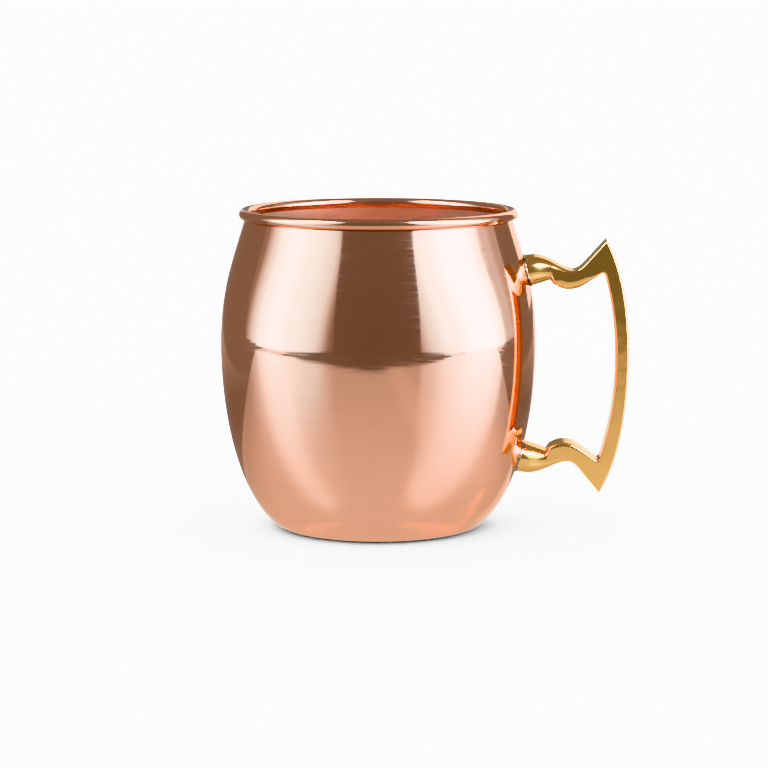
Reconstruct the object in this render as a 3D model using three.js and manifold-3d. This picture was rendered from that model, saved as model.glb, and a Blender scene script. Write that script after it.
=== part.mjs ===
// Copper mug: a spun barrel shell with a rolled rim, and a cast brass handle soldered to it.
// Millimetres, +Z up. The origin is on the mug's axis, on the plane that the base stands on.
// The handle points along +X.

import * as THREE from 'three';
import { mergeVertices } from 'three/addons/utils/BufferGeometryUtils.js';
import Module from 'manifold-3d';

// ---------- driving dimensions ----------

const SHEET = 1.0;                 // thickness of the copper sheet
const BELLY_RADIUS = 46.0;         // widest outside radius of the barrel
const BELLY_HEIGHT = 53.6;         // height of the widest ring
const BASE_FLAT_RADIUS = 27.7;     // outside radius of the flat base
const BASE_CORNER_RADIUS = 4.7;    // corner between base and wall
const BASE_WALL_ANGLE = 50;        // degrees from vertical, where the wall leaves the corner
const LOWER_WALL_PULL = 12.8;      // how long the wall keeps the corner's direction
const BELLY_PULL_DOWN = 22.5;      // how long the wall stays upright below the belly
const BELLY_PULL_UP = 16.4;        // and above it
const NECK_PULL = 11.8;            // how long the wall keeps the neck's direction
const NECK_ANGLE = 16.3;           // degrees from vertical, leaning inward, at the rim

const RIM_CENTRE_RADIUS = 39.0;    // centre line of the rolled bead
const RIM_CENTRE_HEIGHT = 91.35;
const RIM_TUBE_RADIUS = 1.55;      // outside radius of the bead's section
const RIM_END_ANGLE = -75;         // degrees below horizontal where the curl stops, short of the wall

const HANDLE_MID_HEIGHT = 47.3;    // height of the handle's mirror plane
const HANDLE_LEAN = 1.2;           // degrees that its top leans out, following the barrel
const LEAN_PIVOT_RADIUS = 57.0;
const HANDLE_WIDTH = 10.0;         // across the bar
const BAR_EDGE = 1.0;              // rounding along the bar's edges
const GRIP_OUTER = 72.7;           // outer face of the grip, at the mirror plane
const GRIP_INNER = 69.15;          // inner face
const TIP = [65.35, 36.95];        // the upper point; the lower one mirrors it
const NOTCH = [49.4, 24.75];       // the step in the arm's inner side
const FOOT_CENTRE = 27.4;          // height of a foot's centre from the mirror plane
const FOOT_HALF_HEIGHT = 5.1;
const FOOT_HALF_WIDTH = 7.3;
const FOOT_INSIDE = 34.0;          // the foot's blank starts inside the wall, and is cut back to it
const FOOT_NECK = 50.5;            // and ends inside the arm
const FOOT_NECK_SCALE = 0.75;
const ARM_START = 48.6;            // where the flat-sided bar takes over from the oval foot

const JOINT_GAP = 0.3;             // clearance on each side of a solder joint
const SOLDER_THICKNESS = 0.6;
const SOLDER_PROUD = 0.35;         // how far the solder stands out round the foot

const AROUND = 64;                 // facets round the mug
const FOOT_AROUND = 28;            // facets round a foot

// ---------- solids ----------

const wasm = await Module();
wasm.setup();

/** A manifold solid from a closed three.js geometry. */
function solidOf(geometry) {
  const bare = geometry.clone();
  bare.deleteAttribute('normal');
  bare.deleteAttribute('uv');
  const merged = mergeVertices(bare, 1e-4);
  const index = merged.index.array;
  const kept = [];
  for (let i = 0; i < index.length; i += 3) {
    const [a, b, c] = [index[i], index[i + 1], index[i + 2]];
    if (a !== b && b !== c && c !== a) kept.push(a, b, c);
  }
  return new wasm.Manifold(new wasm.Mesh({
    numProp: 3,
    vertProperties: new Float32Array(merged.attributes.position.array),
    triVerts: new Uint32Array(kept),
  }));
}

/** A three.js geometry from a manifold solid. */
function geometryOf(solid) {
  const mesh = solid.getMesh();
  const geometry = new THREE.BufferGeometry();
  geometry.setAttribute('position', new THREE.BufferAttribute(new Float32Array(mesh.vertProperties), 3));
  geometry.setIndex(new THREE.BufferAttribute(new Uint32Array(mesh.triVerts), 1));
  geometry.computeVertexNormals();
  return geometry;
}

/** A solid turned round the mug's axis from a profile of [radius, height] points, bottom to top outside. */
function turned(profile) {
  const points = profile.map(([r, z]) => new THREE.Vector2(r, z));
  return solidOf(new THREE.LatheGeometry(points, AROUND).rotateX(Math.PI / 2));
}

// ---------- the barrel's profile ----------

const radians = THREE.MathUtils.degToRad;

/** Points of an arc about a centre, from one angle to another, in degrees. */
function arc([cx, cz], radius, from, to, steps) {
  return Array.from({ length: steps + 1 }, (_, i) => {
    const angle = radians(from + ((to - from) * i) / steps);
    return [cx + radius * Math.cos(angle), cz + radius * Math.sin(angle)];
  });
}

/** Points of a cubic curve, without its first. */
function cubic(p0, p1, p2, p3, steps) {
  const curve = new THREE.CubicBezierCurve(...[p0, p1, p2, p3].map(([x, y]) => new THREE.Vector2(x, y)));
  return curve.getPoints(steps).slice(1).map((p) => [p.x, p.y]);
}

/** Where the outer face of the wall reaches the curl: it touches the inside of the bead's tube. */
function neckEnd() {
  const inside = RIM_TUBE_RADIUS - SHEET;
  return [
    RIM_CENTRE_RADIUS - inside * Math.cos(radians(NECK_ANGLE)),
    RIM_CENTRE_HEIGHT - inside * Math.sin(radians(NECK_ANGLE)),
  ];
}

/** The wall's outer face from the edge of the flat base to the neck, moved inward by a depth. */
function wallProfile(depth) {
  const corner = arc([BASE_FLAT_RADIUS, BASE_CORNER_RADIUS], BASE_CORNER_RADIUS, -90, -BASE_WALL_ANGLE, 4);
  const foot = corner[corner.length - 1];
  const lean = radians(BASE_WALL_ANGLE);
  const neck = neckEnd();
  const neckLean = radians(NECK_ANGLE);
  const lower = cubic(
    foot,
    [foot[0] + LOWER_WALL_PULL * Math.sin(lean), foot[1] + LOWER_WALL_PULL * Math.cos(lean)],
    [BELLY_RADIUS, BELLY_HEIGHT - BELLY_PULL_DOWN],
    [BELLY_RADIUS, BELLY_HEIGHT],
    10,
  );
  const upper = cubic(
    [BELLY_RADIUS, BELLY_HEIGHT],
    [BELLY_RADIUS, BELLY_HEIGHT + BELLY_PULL_UP],
    [neck[0] + NECK_PULL * Math.sin(neckLean), neck[1] - NECK_PULL * Math.cos(neckLean)],
    neck,
    8,
  );
  const outer = [...corner, ...lower, ...upper];
  return outer.map((point, i) => {
    const before = outer[Math.max(i - 1, 0)];
    const after = outer[Math.min(i + 1, outer.length - 1)];
    const along = new THREE.Vector2(after[0] - before[0], after[1] - before[1]).normalize();
    if (i === 0) along.set(1, 0);
    if (i === outer.length - 1) along.set(-Math.sin(neckLean), Math.cos(neckLean));
    return [point[0] - along.y * depth, point[1] + along.x * depth];
  });
}

/** The spun shell: base, wall and a rim curled outward into a bead that stays open underneath. */
function bodyShell() {
  const start = 180 + NECK_ANGLE;
  const centre = [RIM_CENTRE_RADIUS, RIM_CENTRE_HEIGHT];
  const hidden = arc(centre, RIM_TUBE_RADIUS - SHEET, start, RIM_END_ANGLE, 6).slice(1);
  const shown = arc(centre, RIM_TUBE_RADIUS, RIM_END_ANGLE, start, 12);
  return turned([
    [0, 0],
    ...wallProfile(0),
    ...hidden,
    ...shown,
    ...wallProfile(SHEET).reverse().slice(1),
    [0, SHEET],
  ]);
}

/** Everything inside the barrel's outer face moved outward by a clearance: the tool that fits pieces to the wall. */
function barrelTool(clearance) {
  const wall = wallProfile(-clearance);
  return turned([[0, wall[0][1]], ...wall, [0, wall[wall.length - 1][1]]]);
}

// ---------- the handle ----------

/** The upper half of the handle's side view, from the grip's outer face round the tip and foot to its inner face. */
function halfOutline() {
  const dip = [56.2, 27.95];
  const wingFoot = [60.0, 30.75];
  const crest = [44.2, 32.1];
  const underside = [54.6, 22.35];
  const slope = [59.4, 24.0];
  return [
    ...cubic([GRIP_OUTER, 0], [GRIP_OUTER, 13.1], [71.05, 27.2], TIP, 10),
    wingFoot,
    ...cubic(wingFoot, [58.6, 29.1], [57.4, dip[1]], dip, 4),
    ...cubic(dip, [52.4, dip[1]], [49.5, crest[1]], crest, 7),
    [FOOT_INSIDE, 30.8],
    [FOOT_INSIDE, 21.4],
    [43.8, 22.9],
    ...cubic([43.8, 22.9], [45.8, 23.4], [47.9, 24.3], NOTCH, 3),
    ...cubic(NOTCH, [51.0, 23.3], [52.8, underside[1]], underside, 4),
    ...cubic(underside, [56.4, underside[1]], [58.0, 22.9], slope, 3),
    [64.0, 27.2],
    ...cubic([64.0, 27.2], [64.6, 27.6], [65.1, 27.4], [65.4, 26.6], 3),
    ...cubic([65.4, 26.6], [68.48, 15.6], [GRIP_INNER, 8.0], [GRIP_INNER, 0], 8),
  ];
}

/** A shape in the handle's side view from its [radius, height] points. */
function sideShape(points) {
  return new THREE.Shape(points.map(([u, v]) => new THREE.Vector2(u, v)));
}

/** Puts a side view extruded along Z upright in the mug's frame, leaned to follow the barrel. */
function stood(geometry) {
  return geometry
    .rotateX(Math.PI / 2)
    .translate(-LEAN_PIVOT_RADIUS, 0, 0)
    .rotateY(radians(HANDLE_LEAN))
    .translate(LEAN_PIVOT_RADIUS, 0, HANDLE_MID_HEIGHT);
}

/** The side view as a slab of a width, with rounded edges. */
function slab(points, width, edge) {
  const depth = width - 2 * edge;
  const geometry = new THREE.ExtrudeGeometry(sideShape(points), {
    depth,
    bevelEnabled: edge > 0,
    bevelThickness: edge,
    bevelSize: edge,
    bevelOffset: -edge,
    bevelSegments: 2,
  });
  return solidOf(stood(geometry.translate(0, 0, -depth / 2)));
}

/** An upright block that keeps what lies between two radii. */
function between(from, to) {
  const size = 100;
  const block = new THREE.BoxGeometry(to - from, size, size);
  return solidOf(stood(block.translate((from + to) / 2, 0, 0)));
}

/** The oval taper of a foot above (side 1) or below (side -1) the mirror plane, grown by a margin. */
function footTaper(side, margin) {
  const taper = new THREE.CylinderGeometry(FOOT_NECK_SCALE, 1, FOOT_NECK - FOOT_INSIDE, FOOT_AROUND, 1);
  taper.rotateZ(-Math.PI / 2);
  taper.scale(1, FOOT_HALF_HEIGHT + margin, FOOT_HALF_WIDTH + margin);
  taper.translate((FOOT_INSIDE + FOOT_NECK) / 2, side * FOOT_CENTRE, 0);
  return solidOf(stood(taper));
}

function handleSolid() {
  const upper = halfOutline();
  const lower = upper.slice(0, -1).reverse().map(([u, v]) => [u, -v]);
  const outline = [...upper, ...lower];
  const bar = slab(outline, HANDLE_WIDTH, BAR_EDGE).intersect(between(ARM_START, GRIP_OUTER + 10));
  const blank = slab(outline, 2 * FOOT_HALF_WIDTH, 0);
  const feet = footTaper(1, 0).add(footTaper(-1, 0)).intersect(blank);
  return bar.add(feet).subtract(barrelTool(2 * JOINT_GAP + SOLDER_THICKNESS));
}

/** The solder between a foot and the wall, following both. */
function solderJoint(side) {
  return footTaper(side, SOLDER_PROUD)
    .intersect(barrelTool(JOINT_GAP + SOLDER_THICKNESS))
    .subtract(barrelTool(JOINT_GAP))
    .intersect(between(BASE_FLAT_RADIUS, GRIP_OUTER));
}

// ---------- the assembly ----------

const COPPER = { color: 0xd98c66, roughness: 0.12, metalness: 1 };
const BRASS = { color: 0xc9984a, roughness: 0.18, metalness: 1 };
const SOLDER = { color: 0x8c8f90, roughness: 0.35, metalness: 1 };

const mug = new THREE.Group();

function addPiece(name, solid, finish) {
  const mesh = new THREE.Mesh(geometryOf(solid), new THREE.MeshStandardMaterial(finish));
  mesh.name = name;
  mug.add(mesh);
}

addPiece('body_shell', bodyShell(), COPPER);
addPiece('handle', handleSolid(), BRASS);
addPiece('upper_solder_joint', solderJoint(1), SOLDER);
addPiece('lower_solder_joint', solderJoint(-1), SOLDER);

export default mug;
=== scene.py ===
"""A spun copper mug with a cast brass handle soldered to it, on a pale floor between two soft boxes.

Metres, +Z up. The mug stands on the origin, its axis is Z, and its handle points along +X.
"""

import math

import bmesh
import bpy
from mathutils import Matrix, Vector, noise


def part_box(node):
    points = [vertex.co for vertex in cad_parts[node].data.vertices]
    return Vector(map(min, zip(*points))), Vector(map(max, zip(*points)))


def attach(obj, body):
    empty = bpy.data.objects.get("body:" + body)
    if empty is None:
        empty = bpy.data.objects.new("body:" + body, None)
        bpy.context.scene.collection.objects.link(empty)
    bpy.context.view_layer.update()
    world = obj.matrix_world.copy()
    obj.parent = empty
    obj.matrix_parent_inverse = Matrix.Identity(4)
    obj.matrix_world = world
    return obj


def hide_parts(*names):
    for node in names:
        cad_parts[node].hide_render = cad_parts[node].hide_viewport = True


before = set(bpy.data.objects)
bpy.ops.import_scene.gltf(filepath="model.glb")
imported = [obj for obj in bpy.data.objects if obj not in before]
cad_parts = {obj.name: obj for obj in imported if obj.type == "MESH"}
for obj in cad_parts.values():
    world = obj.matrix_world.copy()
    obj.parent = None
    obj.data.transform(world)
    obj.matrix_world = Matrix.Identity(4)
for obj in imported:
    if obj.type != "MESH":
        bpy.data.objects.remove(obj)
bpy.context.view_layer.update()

body_low, body_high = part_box("body_shell")
handle_low, handle_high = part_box("handle")

MM = 0.001

# ---------- the barrel, in metres ----------

SHEET = 1.0 * MM                     # thickness of the copper sheet
BELLY_RADIUS = body_high.x
BELLY_HEIGHT = 53.6 * MM
BASE_FLAT_RADIUS = 27.7 * MM
BASE_CORNER_RADIUS = 4.7 * MM
BASE_WALL_ANGLE = math.radians(50)   # from vertical, where the wall leaves the corner
LOWER_WALL_PULL = 12.8 * MM          # how long the wall keeps the corner's direction
BELLY_PULL_DOWN = 22.5 * MM          # how long the wall stays upright below the belly
BELLY_PULL_UP = 16.4 * MM            # and above it
NECK_PULL = 11.8 * MM
NECK_ANGLE = math.radians(16.3)      # from vertical, leaning inward, at the rim
RIM_TUBE_RADIUS = 1.55 * MM          # the rolled bead's section
RIM_CENTRE_RADIUS = 39.0 * MM
RIM_CENTRE_HEIGHT = body_high.z - RIM_TUBE_RADIUS
RIM_END_ANGLE = math.radians(-75)    # where the curl stops, short of the wall
TURNS = 192                          # steps round the mug

# ---------- the handle, in millimetres in its own upright plane ----------
# The first number is the distance from the mug's axis, the second the height above the mirror plane.

TIP = (65.35, 36.95)
NOTCH = (49.4, 24.75)
DIP = (56.2, 27.95)
CREST = (44.2, 32.1)
WING_FOOT = (60.0, 30.75)
BELLY_OF_ARM = (54.6, 22.35)
SLOPE = (59.4, 24.0)
CORNER_IN = (64.0, 27.2)
CORNER_OUT = (65.4, 26.6)
FOOT_UNDER = (43.8, 22.9)
GRIP_OUTER = 72.7
GRIP_INNER = 69.15
LEAN = math.radians(1.2)             # the top leans out, following the barrel
LEAN_PIVOT = 57.0
BAR_HALF_WIDTH = 5.0
FOOT_HALF_WIDTH = 6.6                # where the arm meets the wall
BAR_EDGE = 0.50                      # rounding along the bar's edges
UPPER_GAP_EDGE = 2.3                 # rounding on the upper arm's finger side, between notch and slope
LOWER_GAP_EDGE = 1.1                 # and on the lower arm's
GAP_EDGE_STARTS = (NOTCH[0], 52.6)   # the distances over which that rounding grows
GAP_EDGE_ENDS = (56.0, CORNER_IN[0])  # and fades
FOOT_NARROWS = (41.5, 50.5)          # the distances over which a foot narrows to the bar
FLAT_INSIDE = (NOTCH[0] - 0.2, NOTCH[0] + 1.4)  # over which its round finger side turns flat
FLAT_OUTSIDE = (46.5, 57.5)          # and its other side
ROUND_SHARE = 0.94                   # how much of a foot's section is curved
EDGE_STEPS = 7
HOLD = 0.12                          # narrow strips beside each rounding keep the flats flat
HANDLE_MID_HEIGHT = (
    (handle_low.z + handle_high.z) / 2 / MM + (TIP[0] - LEAN_PIVOT) * math.sin(LEAN)
)

FOOT_GAP = 0.5                       # between the foot and the wall, filled with solder
FOOT_CENTRE = 27.35                  # height above the mirror plane
FOOT_DISTANCE = 44.0
FOOT_HALF_HEIGHT = 4.5
SOLDER_HALF = 0.34                   # half of the solder's thickness
SOLDER_LUMP = 0.22                   # how uneven its edge is
SOLDER_AROUND = 96                   # points round its edge
SOLDER_FLAT = (0.1, 0.55, 0.9)       # rings of its flat faces, as shares of its size
SOLDER_EDGE = 0.99                   # where its edge starts to bulge
SOLDER_BULGE = 0.03                  # and by how much
SOLDER_EDGE_STEPS = 8


# ---------- working in Blender ----------

def deselect():
    """Leaves edit mode and deselects everything."""
    if bpy.context.object and bpy.context.object.mode != "OBJECT":
        bpy.ops.object.mode_set(mode="OBJECT")
    bpy.ops.object.select_all(action="DESELECT")


def pick(piece):
    """Makes a piece the only one selected."""
    deselect()
    piece.select_set(True)
    bpy.context.view_layer.objects.active = piece


def edit(piece, mode="VERT"):
    """Opens a piece in edit mode with all of it selected."""
    pick(piece)
    bpy.ops.object.mode_set(mode="EDIT")
    bpy.ops.mesh.select_mode(type=mode)
    bpy.ops.mesh.select_all(action="SELECT")


def apply_modifier(piece, kind, **settings):
    """Adds a modifier, sets it and applies it."""
    pick(piece)
    modifier = piece.modifiers.new(kind.lower(), kind)
    for name, value in settings.items():
        setattr(modifier, name, value)
    bpy.ops.object.modifier_apply(modifier=modifier.name)


def named(name):
    """Names the newest object and its mesh."""
    piece = bpy.context.object
    piece.name = name
    piece.data.name = name
    return piece


def recalculate(piece):
    """Joins points that coincide and turns every face outward."""
    edit(piece)
    bpy.ops.mesh.remove_doubles(threshold=1e-6)
    bpy.ops.mesh.normals_make_consistent(inside=False)
    deselect()


def smooth(piece, degrees=30):
    """Shades a piece smooth, apart from edges sharper than an angle."""
    pick(piece)
    bpy.ops.object.shade_smooth_by_angle(angle=math.radians(degrees))


# ---------- curves ----------

def along(curve, t):
    """The point at t on a cubic curve, or on a straight line given by its two ends."""
    if len(curve) == 2:
        return Vector(curve[0]).lerp(Vector(curve[1]), t)
    a, b, c, d = (Vector(point) for point in curve)
    s = 1 - t
    return a * s**3 + b * 3 * s * s * t + c * 3 * s * t * t + d * t**3


def stretch(curve, start, end, steps):
    """Points from start to end on a curve, without the first."""
    return [along(curve, start + (end - start) * i / steps) for i in range(1, steps + 1)]


def arc(centre, radius, start, end, steps):
    """Points of an arc, without the first."""
    angles = [start + (end - start) * i / steps for i in range(1, steps + 1)]
    return [Vector((centre[0] + radius * math.cos(a), centre[1] + radius * math.sin(a))) for a in angles]


# ---------- the copper shell ----------

def neck_end():
    """Where the outer face of the wall reaches the curl."""
    inside = RIM_TUBE_RADIUS - SHEET
    return Vector((
        RIM_CENTRE_RADIUS - inside * math.cos(NECK_ANGLE),
        RIM_CENTRE_HEIGHT - inside * math.sin(NECK_ANGLE),
    ))


def wall_profile():
    """The outer face of base and wall, from the axis to the neck, as (radius, height) points."""
    corner = (BASE_FLAT_RADIUS, BASE_CORNER_RADIUS)
    down = -math.pi / 2
    base = stretch(((0.0, 0.0), (BASE_FLAT_RADIUS, 0.0)), 0, 1, 6)
    turn = arc(corner, BASE_CORNER_RADIUS, down, -BASE_WALL_ANGLE, 12)
    foot = turn[-1]
    rise = Vector((math.sin(BASE_WALL_ANGLE), math.cos(BASE_WALL_ANGLE))) * LOWER_WALL_PULL
    belly = Vector((BELLY_RADIUS, BELLY_HEIGHT))
    neck = neck_end()
    fall = Vector((math.sin(NECK_ANGLE), -math.cos(NECK_ANGLE))) * NECK_PULL
    lower = (foot, foot + rise, belly - Vector((0, BELLY_PULL_DOWN)), belly)
    upper = (belly, belly + Vector((0, BELLY_PULL_UP)), neck + fall, neck)
    return [Vector((0, 0))] + base + turn + stretch(lower, 0, 1, 40) + stretch(upper, 0, 1, 36)


def spun(name, profile):
    """A surface spun round the axis from a profile drawn point by point."""
    deselect()
    start = profile[0]
    bpy.ops.mesh.primitive_plane_add(size=MM, location=(0, 0, 0))
    piece = named(name)
    edit(piece)
    bpy.ops.mesh.merge(type="CENTER")
    bpy.ops.transform.translate(value=(start.x, 0, start.y))
    for before, after in zip(profile, profile[1:]):
        step = after - before
        bpy.ops.mesh.extrude_region_move(TRANSFORM_OT_translate={"value": (step.x, 0, step.y)})
    bpy.ops.mesh.select_all(action="SELECT")
    bpy.ops.mesh.spin(steps=TURNS, angle=2 * math.pi, center=(0, 0, 0), axis=(0, 0, 1))
    recalculate(piece)
    return piece


def face_outward(piece):
    """Turns an open spun sheet so that its wall faces away from the axis."""
    wall = max(piece.data.polygons, key=lambda face: math.hypot(face.center.x, face.center.y))
    if wall.normal.dot(wall.center) < 0:
        edit(piece)
        bpy.ops.mesh.flip_normals()
        deselect()


def make_shell():
    """The spun sheet: a flat base, a barrel wall and a rim curled outward into a bead."""
    centre = (RIM_CENTRE_RADIUS, RIM_CENTRE_HEIGHT)
    curl = arc(centre, RIM_TUBE_RADIUS - SHEET, math.pi + NECK_ANGLE, RIM_END_ANGLE, 26)
    shell = spun("copper_shell", wall_profile() + curl)
    face_outward(shell)
    apply_modifier(shell, "SOLIDIFY", thickness=SHEET, offset=-1, use_even_offset=True, material_offset=0)
    smooth(shell)
    return shell


def wall_radius(height, profile=wall_profile()):
    """The wall's outside radius at a height above the base's corner."""
    for low, high in zip(profile, profile[1:]):
        if high.y > low.y and low.y <= height <= high.y:
            return low.x + (high.x - low.x) * (height - low.y) / (high.y - low.y)
    return profile[-1].x


# ---------- the brass handle ----------

FOOT_IN = ((36.0, 21.7), FOOT_UNDER)
FOOT_OUT = ((36.0, 31.06), CREST)
INNER_FOOT = (FOOT_UNDER, (45.8, 23.4), (47.9, 24.3), NOTCH)
INNER_DROP = (NOTCH, (51.0, 23.3), (52.8, BELLY_OF_ARM[1]), BELLY_OF_ARM)
INNER_RISE = (BELLY_OF_ARM, (56.4, BELLY_OF_ARM[1]), (58.0, 22.9), SLOPE)
INNER_WING = (SLOPE, CORNER_IN)
INNER_CORNER = (CORNER_IN, (64.6, 27.6), (65.1, 27.4), CORNER_OUT)
INNER_GRIP = (CORNER_OUT, (68.48, 15.6), (GRIP_INNER, 8.0), (GRIP_INNER, 0.0))
OUTER_ARM = (CREST, (49.5, CREST[1]), (52.4, DIP[1]), DIP)
OUTER_DIP = (DIP, (57.4, DIP[1]), (58.6, 29.1), WING_FOOT)
OUTER_WING = (WING_FOOT, TIP)
OUTER_GRIP = (TIP, (71.05, 27.2), (GRIP_OUTER, 13.1), (GRIP_OUTER, 0.0))

# Inner curve, its start and end; the outer curve that faces it, its start and end; steps.
HANDLE_STRETCHES = (
    (FOOT_IN, 0, 1, FOOT_OUT, 0, 1, 6),
    (INNER_FOOT, 0, 0.94, OUTER_ARM, 0, 0.40, 12),
    (INNER_FOOT, 0.94, 1, OUTER_ARM, 0.40, 0.42, 1),
    (INNER_DROP, 0, 1, OUTER_ARM, 0.42, 1, 16),
    (INNER_RISE, 0, 1, OUTER_DIP, 0, 1, 12),
    (INNER_WING, 0, 1, OUTER_WING, 0, 0.55, 8),
    (INNER_CORNER, 0, 0.5, OUTER_WING, 0.55, 1, 8),
    (INNER_CORNER, 0.5, 1, OUTER_GRIP, 0, 0.28, 8),
    (INNER_GRIP, 0, 1, OUTER_GRIP, 0.28, 1, 26),
)


def ease(value, low, high):
    """0 below low, 1 above high, smooth between."""
    t = min(max((value - low) / (high - low), 0), 1)
    return t * t * (3 - 2 * t)


def handle_rungs():
    """Pairs of facing points on the handle's inner and outer outline, from the foot to the grip's middle."""
    rungs = [(Vector(FOOT_IN[0]), Vector(FOOT_OUT[0]))]
    for inner, a, b, outer, c, d, steps in HANDLE_STRETCHES:
        rungs += zip(stretch(inner, a, b, steps), stretch(outer, c, d, steps))
    return rungs


def slant(rung, before, after):
    """How much longer an edge's rounding is along a rung than square to the outline."""
    direction = (rung[1] - rung[0]).normalized()
    stretched = []
    for side in (0, 1):
        run = (after[side] - before[side]).normalized()
        stretched.append(1 / max(abs(run.cross(direction)), 0.5))
    return stretched


def section_side(side, half, width, flatness, edge, edge_length):
    """A quarter of a section: round at a foot, and flat with a rounded edge along the bar."""
    tall = (1 - flatness) * half * ROUND_SHARE + flatness * edge_length
    wide = (1 - flatness) * width * ROUND_SHARE + flatness * edge
    quarter = []
    for i in range(EDGE_STEPS + 1):
        angle = math.pi / 2 * i / EDGE_STEPS
        quarter.append((
            side * (half - tall * (1 - math.sin(angle))),
            width - wide * (1 - math.cos(angle)),
        ))
    first, last = quarter[0], quarter[-1]
    hold_side = (first[0] - side * min(HOLD, abs(first[0]) / 2), first[1])
    hold_top = (last[0], last[1] - min(HOLD, last[1] / 2))
    return [hold_side] + quarter + [hold_top]


def section(rung, before, after, arm_edge):
    """The bar's section on a rung, as a ring of (distance, height, across) points in millimetres."""
    inner, outer = rung
    middle = (inner + outer) / 2
    half = (outer - inner).length / 2
    along_rung = (outer - inner).normalized()
    width = BAR_HALF_WIDTH + (FOOT_HALF_WIDTH - BAR_HALF_WIDTH) * (1 - ease(middle.x, *FOOT_NARROWS))
    soft = ease(inner.x, *GAP_EDGE_STARTS) * (1 - ease(inner.x, *GAP_EDGE_ENDS))
    gap_edge = BAR_EDGE + (arm_edge - BAR_EDGE) * soft
    inner_slant, outer_slant = slant(rung, before, after)
    inside = section_side(-1, half, width, ease(inner.x, *FLAT_INSIDE), gap_edge, gap_edge * inner_slant)
    outside = section_side(1, half, width, ease(middle.x, *FLAT_OUTSIDE), BAR_EDGE, BAR_EDGE * outer_slant)
    ring = outside + [(a, -b) for a, b in reversed(outside)]
    ring += [(a, -b) for a, b in inside] + list(reversed(inside))
    return [(*(middle + along_rung * a), b) for a, b in ring]


def upright(point):
    """A point of the handle's plane, in millimetres, put in the mug's frame in metres."""
    distance, height, across = point
    out = distance - LEAN_PIVOT
    return Vector((
        LEAN_PIVOT + out * math.cos(LEAN) + height * math.sin(LEAN),
        across,
        HANDLE_MID_HEIGHT + height * math.cos(LEAN) - out * math.sin(LEAN),
    )) * MM


def lofted(name, rings):
    """A closed body through rings of points: a disc on the first, extruded on to each of the others."""
    deselect()
    bpy.ops.mesh.primitive_circle_add(vertices=len(rings[0]), radius=MM, fill_type="NGON")
    piece = named(name)
    edit(piece, "FACE")
    for count, ring in enumerate(rings):
        if count:
            bpy.ops.mesh.extrude_region_move()
        cage = bmesh.from_edit_mesh(piece.data)
        end = next(face for face in cage.faces if face.select)
        for vertex, point in zip(end.verts, ring):
            vertex.co = point
        bmesh.update_edit_mesh(piece.data)
    recalculate(piece)
    return piece


def make_cutter():
    """Everything inside the wall and a little more, which fits the feet to the barrel."""
    profile = wall_profile()
    gap = FOOT_GAP * MM
    grown = [Vector((0, -gap))]
    for before, point, after in zip(profile, profile[1:], profile[2:]):
        run = (after - before).normalized()
        grown.append(point + Vector((run.y, -run.x)) * gap)
    grown.append(Vector((0, grown[-1].y)))
    return spun("barrel_cutter", grown)


def make_handle():
    """The cast handle: two arms with oval feet, a pointed rest above and below, and the grip between them."""
    half = handle_rungs()
    last = len(half) - 1
    rings = []
    for i, rung in enumerate(half):
        ring = section(rung, half[max(i - 1, 0)], half[min(i + 1, last)], UPPER_GAP_EDGE)
        rings.append([upright(point) for point in ring])
    for i in range(last - 1, -1, -1):
        ring = section(half[i], half[max(i - 1, 0)], half[i + 1], LOWER_GAP_EDGE)
        rings.append([upright((distance, -height, across)) for distance, height, across in ring])
    handle = lofted("brass_handle", rings)
    cutter = make_cutter()
    apply_modifier(handle, "BOOLEAN", operation="DIFFERENCE", solver="EXACT", object=cutter)
    bpy.data.objects.remove(cutter)
    smooth(handle)
    return handle


# ---------- the solder ----------

def make_solder(name, side):
    """The tin between a foot and the wall: a thin pad with a rounded, slightly lumpy edge."""
    half = SOLDER_HALF
    levels = [(share, -half) for share in SOLDER_FLAT]
    for i in range(SOLDER_EDGE_STEPS + 1):
        turn = math.pi * (i / SOLDER_EDGE_STEPS - 0.5)
        levels.append((SOLDER_EDGE + SOLDER_BULGE * math.cos(turn), half * math.sin(turn)))
    levels += [(share, half) for share in reversed(SOLDER_FLAT)]
    rings = []
    for share, depth in levels:
        ring = []
        for i in range(SOLDER_AROUND):
            angle = 2 * math.pi * i / SOLDER_AROUND
            lump = noise.noise(Vector((math.cos(angle) * 3, math.sin(angle) * 3, side * 5.0)))
            size = share + (SOLDER_LUMP / FOOT_HALF_HEIGHT * lump if share > SOLDER_FLAT[-1] else 0)
            height = side * FOOT_CENTRE + FOOT_HALF_HEIGHT * size * math.sin(angle)
            across = FOOT_HALF_WIDTH * size * math.cos(angle)
            place = upright((FOOT_DISTANCE, height, across))
            reach = wall_radius(place.z) + (half * 0.6 + depth * 0.9) * MM
            place.x = math.sqrt(reach**2 - place.y**2)
            ring.append(place)
        rings.append(ring)
    pad = lofted(name, rings)
    smooth(pad, 40)
    return pad


# ---------- finishes ----------

class Value:
    """A shader socket that adds Math nodes when it is used in an expression."""

    def __init__(self, finish, socket):
        self.finish = finish
        self.socket = socket

    def math(self, operation, *values):
        return self.finish.node("ShaderNodeMath", {"operation": operation}, dict(enumerate(values)))

    def __add__(self, other):
        return self.math("ADD", self, other)

    def __sub__(self, other):
        return self.math("SUBTRACT", self, other)

    def __rsub__(self, other):
        return self.math("SUBTRACT", other, self)

    def __mul__(self, other):
        return self.math("MULTIPLY", self, other)

    def __truediv__(self, other):
        return self.math("DIVIDE", self, other)

    __radd__ = __add__
    __rmul__ = __mul__


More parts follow.
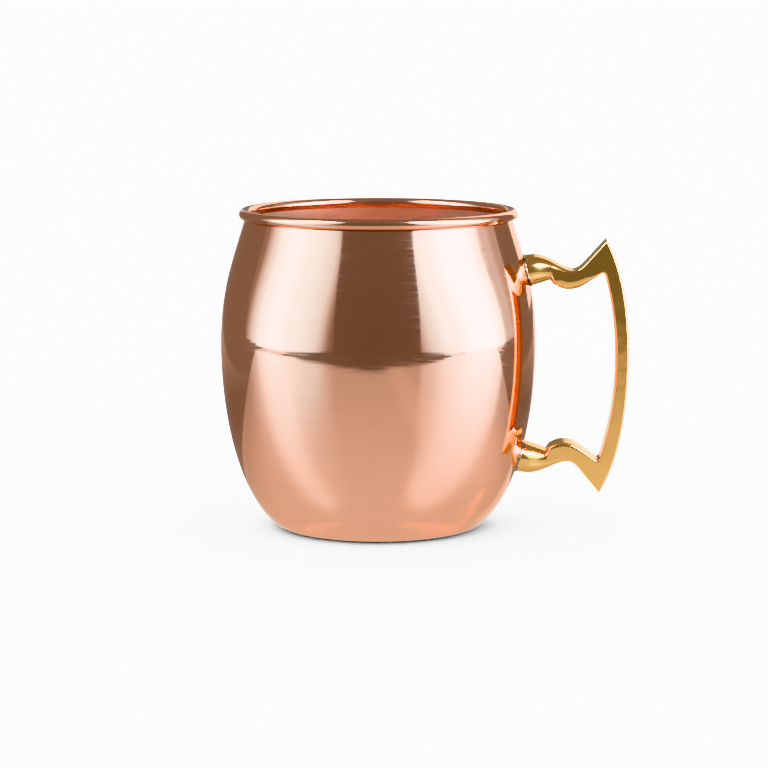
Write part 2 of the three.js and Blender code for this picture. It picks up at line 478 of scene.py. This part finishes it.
class Finish:
    """A node material, built one node at a time."""

    def __init__(self, name):
        self.material = bpy.data.materials.new(name)
        self.material.use_nodes = True
        self.tree = self.material.node_tree
        self.tree.nodes.clear()

    def node(self, kind, settings=None, inputs=None, output=0):
        """Adds a node with its settings and inputs, and returns one of its outputs."""
        made = self.tree.nodes.new(kind)
        for name, value in (settings or {}).items():
            if name == "stops":
                self.set_stops(made.color_ramp, value)
            else:
                setattr(made, name, value)
        for name, value in (inputs or {}).items():
            if isinstance(value, Value):
                self.tree.links.new(value.socket, made.inputs[name])
            else:
                made.inputs[name].default_value = value
        return Value(self, made.outputs[output]) if made.outputs else None

    def set_stops(self, ramp, stops):
        while len(ramp.elements) < len(stops):
            ramp.elements.new(0.5)
        for element, (position, level) in zip(ramp.elements, stops):
            element.position = position
            element.color = (level, level, level, 1) if isinstance(level, (int, float)) else (*level, 1)

    def place(self):
        """The point on the piece, in metres."""
        return self.node("ShaderNodeTexCoord", output="Object")

    def axis(self, vector, letter):
        """One part of a vector: X, Y or Z."""
        return self.node("ShaderNodeSeparateXYZ", None, {"Vector": vector}, output=letter)

    def length(self, vector):
        return self.node("ShaderNodeVectorMath", {"operation": "LENGTH"}, {0: vector}, output="Value")

    def product(self, vector, other):
        """Two vectors or colours multiplied part by part."""
        return self.node("ShaderNodeVectorMath", {"operation": "MULTIPLY"}, {0: vector, 1: other})

    def noise(self, vector, scale=1.0, detail=3.0, roughness=0.5):
        return self.node(
            "ShaderNodeTexNoise", None,
            {"Vector": vector, "Scale": scale, "Detail": detail, "Roughness": roughness},
        )

    def ramp(self, value, stops):
        """A level or a colour that follows a value from 0 to 1."""
        return self.node("ShaderNodeValToRGB", {"stops": stops}, {"Fac": value})

    def follow(self, value, stops):
        """The same, with the stops in the value's own units."""
        low = stops[0][0]
        span = stops[-1][0] - low
        return self.ramp((value - low) / span, [((at - low) / span, level) for at, level in stops])

    def blend(self, share, first, second):
        """A colour between two."""
        return self.node(
            "ShaderNodeMix", {"data_type": "RGBA"}, {0: share, 6: first, 7: second}, output=2
        )

    def bump(self, height, distance, strength=1.0, normal=None):
        inputs = {"Height": height, "Distance": distance, "Strength": strength}
        if normal:
            inputs["Normal"] = normal
        return self.node("ShaderNodeBump", None, inputs)

    def metal(self, **inputs):
        """The metal surface itself, joined to the output."""
        named_inputs = {name.replace("_", " "): value for name, value in inputs.items()}
        shader = self.node("ShaderNodeBsdfPrincipled", None, {"Metallic": 1.0, **named_inputs})
        self.show(shader)

    def glow(self, colour, strength=1.0):
        """A surface that only shines, joined to the output."""
        self.show(self.node("ShaderNodeEmission", None, {"Color": colour, "Strength": strength}))

    def show(self, shader):
        self.node("ShaderNodeOutputMaterial", None, {"Surface": shader})


MICRON = 1e-6
COPPER_CLEAN = (0.94, 0.480, 0.310, 1)
COPPER_WARM = (0.90, 0.400, 0.235, 1)
# Paler, less red copper for the inside: a painted lightening that tames the deep red of light bounced between
# the walls.
COPPER_INSIDE = (0.84, 0.56, 0.43, 1)
COPPER_INSIDE_DEEP = (0.74, 0.46, 0.34, 1)
COPPER_EDGE = (1.0, 0.82, 0.68, 1)   # the tint of what it mirrors at a glancing angle
BRASS_CLEAN = (0.94, 0.535, 0.195, 1)
BRASS_DEEP = (0.92, 0.480, 0.145, 1)
BRASS_EDGE = (1.0, 0.82, 0.55, 1)
SOLDER_BRIGHT = (0.36, 0.31, 0.27, 1)
SOLDER_DULL = (0.05, 0.042, 0.036, 1)


def turning_lines(finish, fineness, broken=14):
    """Fine lines round the axis on wall, base and rim alike, from 0 to 1; broken makes them shorter."""
    place = finish.place()
    radial = finish.length(finish.product(place, (1, 1, 0)))
    height = finish.axis(place, "Z")
    across = finish.node("ShaderNodeCombineXYZ", None, {"X": radial * fineness, "Y": height * fineness})
    drift = finish.product(place, (broken, broken, 0))
    vector = finish.node("ShaderNodeVectorMath", {"operation": "ADD"}, {0: across, 1: drift})
    return finish.noise(vector, 1.0, 4.0, 0.6)


def polished_copper():
    """Mirror copper, with faint polishing lines round the mug and a few hazy patches."""
    finish = Finish("polished_copper")
    place = finish.place()
    lines = turning_lines(finish, 2400.0, broken=110)
    bands = turning_lines(finish, 420.0)
    brushing = finish.ramp(lines, [(0.42, 0.0), (0.70, 1.0)])
    haze = finish.ramp(finish.noise(place, 38.0, 3.0), [(0.42, 0.0), (0.72, 1.0)])
    specks = finish.ramp(finish.noise(place, 900.0, 2.0), [(0.70, 0.0), (0.80, 1.0)])
    tone = finish.noise(place, 24.0, 3.0) * 0.5 + bands * 0.5
    colour = finish.blend(tone, COPPER_CLEAN, COPPER_WARM)
    roughness = 0.035 + brushing * 0.11 + haze * 0.025 + specks * 0.05
    waves = finish.bump(finish.noise(place, 34.0, 1.0), 100 * MICRON)
    normal = finish.bump(lines, 1.6 * MICRON, normal=finish.bump(bands, 3.5 * MICRON, normal=waves))
    finish.metal(Base_Color=colour, Roughness=roughness, Normal=normal, Specular_Tint=COPPER_EDGE)
    return finish.material


def satin_copper():
    """The inside: copper with its turning marks left in, in a paler, less red colour than the outside, a
    painted lightening against the deep red of light bounced between its walls.
    """
    finish = Finish("satin_copper")
    place = finish.place()
    lines = turning_lines(finish, 1500.0)
    bands = turning_lines(finish, 260.0)
    tone = finish.noise(place, 30.0, 3.0) * 0.6 + bands * 0.4
    colour = finish.blend(tone, COPPER_INSIDE, COPPER_INSIDE_DEEP)
    roughness = 0.32 + lines * 0.12
    normal = finish.bump(lines, 12 * MICRON, normal=finish.bump(bands, 30 * MICRON))
    finish.metal(Base_Color=colour, Roughness=roughness, Normal=normal, Specular_Tint=COPPER_EDGE)
    return finish.material


def cast_brass():
    """Polished yellow brass, with grinding lines along the bar and the faint unevenness of a casting."""
    finish = Finish("cast_brass")
    place = finish.place()
    grip = finish.follow(finish.axis(place, "X"), [(0.060, 0.0), (0.066, 1.0)])
    down_grip = finish.noise(finish.product(place, (3200, 3200, 90)), 1.0, 4.0, 0.6)
    along_arm = finish.noise(finish.product(place, (90, 3200, 3200)), 1.0, 4.0, 0.6)
    lines = down_grip * grip + along_arm * (1 - grip)
    cloud = finish.noise(place, 140.0, 4.0, 0.6)
    pits = finish.ramp(finish.noise(place, 1500.0, 1.0), [(0.72, 0.0), (0.80, 1.0)])
    colour = finish.blend(cloud, BRASS_CLEAN, BRASS_DEEP)
    roughness = 0.09 + lines * 0.06 + cloud * 0.04 + pits * 0.06
    waves = finish.bump(finish.noise(place, 110.0, 2.0), 120 * MICRON)
    normal = finish.bump(lines - pits * 0.4, 5 * MICRON, normal=waves)
    finish.metal(Base_Color=colour, Roughness=roughness, Normal=normal, Specular_Tint=BRASS_EDGE)
    return finish.material


def tin_solder():
    """Dull tin, bright where it was wiped and dark where flux stayed on it."""
    finish = Finish("tin_solder")
    place = finish.place()
    patches = finish.ramp(finish.noise(place, 700.0, 3.0), [(0.38, 0.0), (0.62, 1.0)])
    grain = finish.noise(place, 2600.0, 3.0)
    colour = finish.blend(patches, SOLDER_BRIGHT, SOLDER_DULL)
    roughness = 0.24 + patches * 0.22
    finish.metal(Base_Color=colour, Roughness=roughness, Normal=finish.bump(grain, 40 * MICRON))
    return finish.material


def wear(piece, *materials):
    """Gives a piece its materials."""
    piece.data.materials.clear()
    for material in materials:
        piece.data.materials.append(material)


def looks_inside(face):
    """Whether a face of the shell, below the bead, belongs to the inside of the mug."""
    middle = face.center
    bead_bottom = RIM_CENTRE_HEIGHT - RIM_TUBE_RADIUS
    if not SHEET / 2 < middle.z < bead_bottom or face.normal.z <= -0.5:
        return False
    outward = Vector((middle.x, middle.y, 0)).normalized()
    on_floor = face.normal.z > 0.7 and middle.z < 10 * MM
    if face.normal.dot(outward) >= 0 and not on_floor:
        return False
    mid_sheet = wall_radius(middle.z) - SHEET / 2 if middle.z > SHEET * 1.5 else 0
    return math.hypot(middle.x, middle.y) < max(mid_sheet, BASE_FLAT_RADIUS)


def finish_shell(shell):
    """Polished outside and on the bead, satin inside."""
    wear(shell, polished_copper(), satin_copper())
    for face in shell.data.polygons:
        if looks_inside(face):
            face.material_index = 1


# ---------- the studio, in metres ----------
# Only the floor is seen by the camera. The rest is what the metal mirrors.

FLOOR_SIZE = 40.0
FLOOR_COLOUR = (0.86, 0.86, 0.86, 1)
FLOOR_DROP = 0.4 * MM                # just under the mug
TABLE_DROP = 0.2 * MM
SKY_LEVEL = 3.2

ROOM_RADIUS = 6.0
ROOM_COLOUR = (0.95, 1.0, 1.06)
ROOM_LEVELS = ((-1.0, 0.215), (-0.84, 0.235), (-0.56, 0.28), (0.0, 0.31), (1.0, 0.30))  # front to back

SWEEP_SIDE = 0.27
SWEEP_FRONT = 0.04
SWEEP_BACK = 1.2
# Colours of the light painted into the board's glow, cooler at the front left.
TABLE_LIGHT = (0.94, 1.0, 1.06, 1)
TABLE_LEFT_LIGHT = (0.96, 1.30, 1.62, 1)
TABLE_OUTLINE = (
    (-0.56, SWEEP_FRONT, 0), (-0.53, -0.10, 0), (-0.42, -0.26, 0), (-0.22, -0.345, 0),
    (0.01, -0.345, 0), (0.06, -0.385, 0), (0.11, -0.385, 0), (0.22, -0.350, 0),
    (0.46, -0.31, 0), (0.62, -0.20, 0), (0.68, SWEEP_FRONT, 0),
)
PAPER_OUTLINE = (
    (-SWEEP_SIDE, SWEEP_FRONT, 0), (SWEEP_SIDE, SWEEP_FRONT, 0),
    (SWEEP_SIDE, SWEEP_BACK, 0), (-SWEEP_SIDE, SWEEP_BACK, 0),
)
# Brightness of their painted light, by the distance from the mug's axis.
TABLE_GLOW = ((0.04, 0.88), (0.08, 0.82), (0.13, 0.74), (0.20, 0.66), (0.45, 0.56))
PAPER_GLOW = ((0.04, 0.62), (0.08, 0.50), (0.13, 0.41), (0.20, 0.38), (0.45, 0.70))
TABLE_GLOSS = 0.36

BACKDROP_LEFT = -0.42
BACKDROP_RIGHT = 0.75
BACKDROP_TOP = 1.2
BACKDROP_COLOUR = (0.9, 1.0, 1.1)
BACKDROP_LEVEL = 3.4
# Shares of the screen's painted glow, left to right: painted light, brightest at the right.
BACKDROP_SHARES = (
    (BACKDROP_LEFT, 0.0), (-0.39, 0.24), (-0.22, 0.24), (-0.16, 0.08), (0.08, 0.10), (0.18, 0.5), (0.28, 1.0),
)

SOFT_BOX_DISTANCE = 1.3
SOFT_BOX_LOW = -0.030
SOFT_BOX_HIGH = 1.5
# Brightness by bearing in degrees: 0 is the front, and positive turns towards the handle.
RIGHT_BOX_LEAN = 0.45
RIGHT_BOX_LEVELS = (
    (32, 0.45), (34, 0.7), (36, 1.0), (42, 1.55), (48, 2.1), (54, 4.5), (60, 10), (70, 30),
    (76, 42), (93, 42), (99, 18), (103, 6), (105.5, 1.2), (109, 1.0), (113, 1.05), (118, 0.7),
)
LEFT_BOX_LEAN = 0.28
LEFT_BOX_LEVELS = (
    (-30, 0.27), (-34, 0.38), (-37, 0.65), (-39, 1.0), (-44, 1.6), (-50, 2.0), (-58, 3.0), (-66, 5.0),
    (-72, 16), (-78, 24), (-85, 20), (-91, 6), (-96, 2.0), (-102, 1.2), (-105, 0.8), (-108, 0.4),
)
# Brightness, then the red and the blue that go with it, for a green of 1.
COOL_STEPS = (
    (0.0, 0.95, 1.05), (0.45, 0.93, 1.06), (0.8, 0.84, 1.20), (1.1, 0.72, 1.29), (1.7, 0.61, 1.39),
    (2.4, 0.58, 1.42), (4.5, 0.58, 1.42), (12.0, 0.68, 1.34), (30.0, 0.84, 1.18), (45.0, 0.95, 1.08),
)


def seen_by(piece, camera=False, diffuse=False, glossy=False):
    """Sets which rays meet a stage piece; none of them casts a shadow."""
    piece.visible_camera = camera
    piece.visible_diffuse = diffuse
    piece.visible_glossy = glossy
    piece.visible_transmission = False
    piece.visible_shadow = False


def placed(name, corners, material):
    """Names the newest flat piece, puts its corners in place one by one, and gives it its material."""
    piece = named(name)
    for vertex, corner in zip(piece.data.vertices, corners):
        vertex.co = corner
    wear(piece, material)
    return piece


def panel(name, corners, material):
    """A flat four-sided panel, with its own UV."""
    deselect()
    bpy.ops.mesh.primitive_plane_add(size=1)
    return placed(name, corners, material)


def sheet(name, outline, material):
    """A flat sheet of any outline, just under the mug."""
    deselect()
    bpy.ops.mesh.primitive_circle_add(vertices=len(outline), fill_type="NGON")
    piece = placed(name, outline, material)
    piece.data.transform(Matrix.Translation((0, 0, -TABLE_DROP)))
    return piece


def bearing(degrees, distance, height):
    """A point at a bearing round the mug."""
    angle = math.radians(degrees)
    return Vector((math.sin(angle) * distance, -math.cos(angle) * distance, height))


def cool(level):
    """A soft box's colour at a level of brightness: neutral where it is dim, bluish where it is bright."""
    red = blue = 1.0
    for (low, low_red, low_blue), (high, high_red, high_blue) in zip(COOL_STEPS, COOL_STEPS[1:]):
        if level >= low:
            share = min((level - low) / (high - low), 1)
            red = low_red + (high_red - low_red) * share
            blue = low_blue + (high_blue - low_blue) * share
    return Vector((red, 1.0, blue)) * level


def soft_box(name, lean, levels):
    """A soft box between the first and the last of its bearings.

    The pattern moves towards the first one with height, by lean, as in a box that is tilted forward.
    """
    near = levels[0][0]
    far = levels[-1][0]
    corners = [
        bearing(end, SOFT_BOX_DISTANCE, height)
        for height in (SOFT_BOX_LOW, SOFT_BOX_HIGH)
        for end in (near, far)
    ]
    peak = max(level for _, level in levels)
    half = math.radians(far - near) / 2
    stops = []
    for angle, level in levels:
        off_middle = math.radians(angle - near) - half
        stops.append(((1 + math.tan(off_middle) / math.tan(half)) / 2, tuple(cool(level) / peak)))
    finish = Finish(name)
    across = finish.node("ShaderNodeTexCoord", output="UV")
    leaning = finish.axis(across, "X") + finish.axis(across, "Y") * lean
    finish.glow(finish.ramp(leaning, stops), peak)
    seen_by(panel(name, corners, finish.material), glossy=True)


def dark_room():
    """The unlit room that the metal mirrors between the lights."""
    deselect()
    bpy.ops.mesh.primitive_uv_sphere_add(segments=48, ring_count=24, radius=ROOM_RADIUS)
    room = named("dark_room")
    finish = Finish("room_dusk")
    back = finish.axis(finish.place(), "Y") / ROOM_RADIUS
    finish.glow(finish.product(finish.follow(back, ROOM_LEVELS), ROOM_COLOUR))
    wear(room, finish.material)
    seen_by(room, glossy=True)


def table_finish(name, glow_by_distance, gloss):
    """White board as the metal mirrors it, glowing with its lighting painted in: painted pools of light and
    shade make it uneven in brightness, with a painted cooler light at the front left.
    """
    finish = Finish(name)
    place = finish.place()
    right = finish.axis(place, "X")
    back = finish.axis(place, "Y")
    slope = right / back
    distance = finish.length(place)
    # Painted light: brightest near the mug, dimmer further off.
    glow = finish.follow(distance, glow_by_distance)
    # Painted shade beside and behind the mug.
    beside = finish.follow(back, [(-0.02, 1.0), (0.02, 0.72)])
    # Painted light, a little brighter on the handle's side.
    painted_light_near_handle = finish.follow(right, [(0.04, 0.0), (0.06, 1.0), (0.096, 1.0), (0.13, 0.0)])
    ahead = finish.follow(back, [(-0.016, 1.0), (-0.004, 0.0)])
    away = finish.follow(distance, [(0.08, 0.0), (0.20, 1.0)])
    front_left = finish.follow(slope, [(0.54, 0.0), (0.84, 1.0), (1.74, 1.0), (2.40, 0.0)]) * ahead * away
    # Painted highlight: a bright patch on the paper at the back right.
    behind = finish.follow(back, [(0.06, 0.0), (0.12, 1.0)])
    painted_light_back_right = finish.follow(slope, [(0.12, 0.0), (0.18, 1.0), (0.42, 1.0), (0.50, 0.0)]) * behind
    level = glow * beside * (1 + painted_light_near_handle * 0.12) + painted_light_back_right * 1.3
    light = finish.blend(front_left, TABLE_LIGHT, TABLE_LEFT_LIGHT)
    finish.show(finish.node("ShaderNodeBsdfPrincipled", None, {
        "Base Color": (0, 0, 0, 1), "Roughness": 0.20, "Specular IOR Level": gloss,
        "Emission Color": finish.product(level, light), "Emission Strength": 1.0,
    }))
    return finish.material


def make_floor():
    """A plain matt floor, which holds the mug's soft shadow."""
    deselect()
    bpy.ops.mesh.primitive_plane_add(size=FLOOR_SIZE)
    floor = named("floor")
    floor.data.transform(Matrix.Translation((0, 0, -FLOOR_DROP)))
    finish = Finish("floor_pale")
    finish.show(finish.node("ShaderNodeBsdfPrincipled", None, {
        "Base Color": FLOOR_COLOUR, "Roughness": 0.5, "Specular IOR Level": 0.0,
    }))
    wear(floor, finish.material)
    seen_by(floor, camera=True, diffuse=True)


def make_backdrop():
    """A screen behind the mug, glowing with painted light, bright at the right."""
    finish = Finish("backdrop_white")
    shares = finish.follow(finish.axis(finish.place(), "X"), BACKDROP_SHARES)
    finish.glow(finish.product(shares, BACKDROP_COLOUR), BACKDROP_LEVEL)
    corners = [
        (end, SWEEP_BACK, height) for height in (0, BACKDROP_TOP) for end in (BACKDROP_LEFT, BACKDROP_RIGHT)
    ]
    seen_by(panel("backdrop", corners, finish.material), glossy=True)


def make_sky():
    """Even light from all round, which the metal doesn't mirror."""
    sky = bpy.data.worlds.new("pale_surround")
    bpy.context.scene.world = sky
    sky.use_nodes = True
    background = sky.node_tree.nodes["Background"]
    background.inputs["Color"].default_value = (1, 1, 1, 1)
    background.inputs["Strength"].default_value = SKY_LEVEL
    sky.cycles_visibility.glossy = False


def make_studio():
    """The floor, and everything that lights the mug or shows in it."""
    make_floor()
    white = table_finish("table_white", TABLE_GLOW, TABLE_GLOSS)
    shade = table_finish("table_shade", PAPER_GLOW, 0.0)
    seen_by(sheet("table_board", TABLE_OUTLINE, white), glossy=True)
    seen_by(sheet("table_paper", PAPER_OUTLINE, shade), glossy=True)
    make_backdrop()
    soft_box("soft_box_right", RIGHT_BOX_LEAN, RIGHT_BOX_LEVELS)
    soft_box("soft_box_left", LEFT_BOX_LEAN, LEFT_BOX_LEVELS)
    dark_room()
    make_sky()


# ---------- the camera ----------

CAMERA_DISTANCE = 0.800
CAMERA_HEIGHT = 0.1573
CAMERA_TILT = math.radians(8.25)     # down
CAMERA_TURN = math.radians(2.0)      # towards the handle, round the mug
CAMERA_ASIDE = math.radians(0.116)   # it points a little to the right of the mug's axis
CAMERA_LENS = 129.4                  # millimetres
CAMERA_SENSOR = 36


def make_camera():
    """Looks down a little at the mug, from the front."""
    data = bpy.data.cameras.new("camera")
    data.lens = CAMERA_LENS
    data.sensor_width = CAMERA_SENSOR
    data.clip_start = 0.01
    camera = bpy.data.objects.new("camera", data)
    bpy.context.scene.collection.objects.link(camera)
    camera.location = (
        math.sin(CAMERA_TURN) * CAMERA_DISTANCE,
        -math.cos(CAMERA_TURN) * CAMERA_DISTANCE,
        CAMERA_HEIGHT,
    )
    camera.rotation_euler = (math.pi / 2 - CAMERA_TILT, 0, CAMERA_TURN - CAMERA_ASIDE)
    bpy.context.scene.camera = camera


# ---------- the mug ----------

make_camera()

shell = make_shell()
finish_shell(shell)
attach(shell, "root")
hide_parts("body_shell")

handle = make_handle()
wear(handle, cast_brass())
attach(handle, "root")
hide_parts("handle")

solder = tin_solder()
for place_name, side in (("upper", 1), ("lower", -1)):
    pad = make_solder(f"{place_name}_solder", side)
    wear(pad, solder)
    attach(pad, "root")
    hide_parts(f"{place_name}_solder_joint")

make_studio()
bpy.context.scene.view_settings.view_transform = "Khronos PBR Neutral"
bpy.context.scene.cycles.caustics_reflective = False
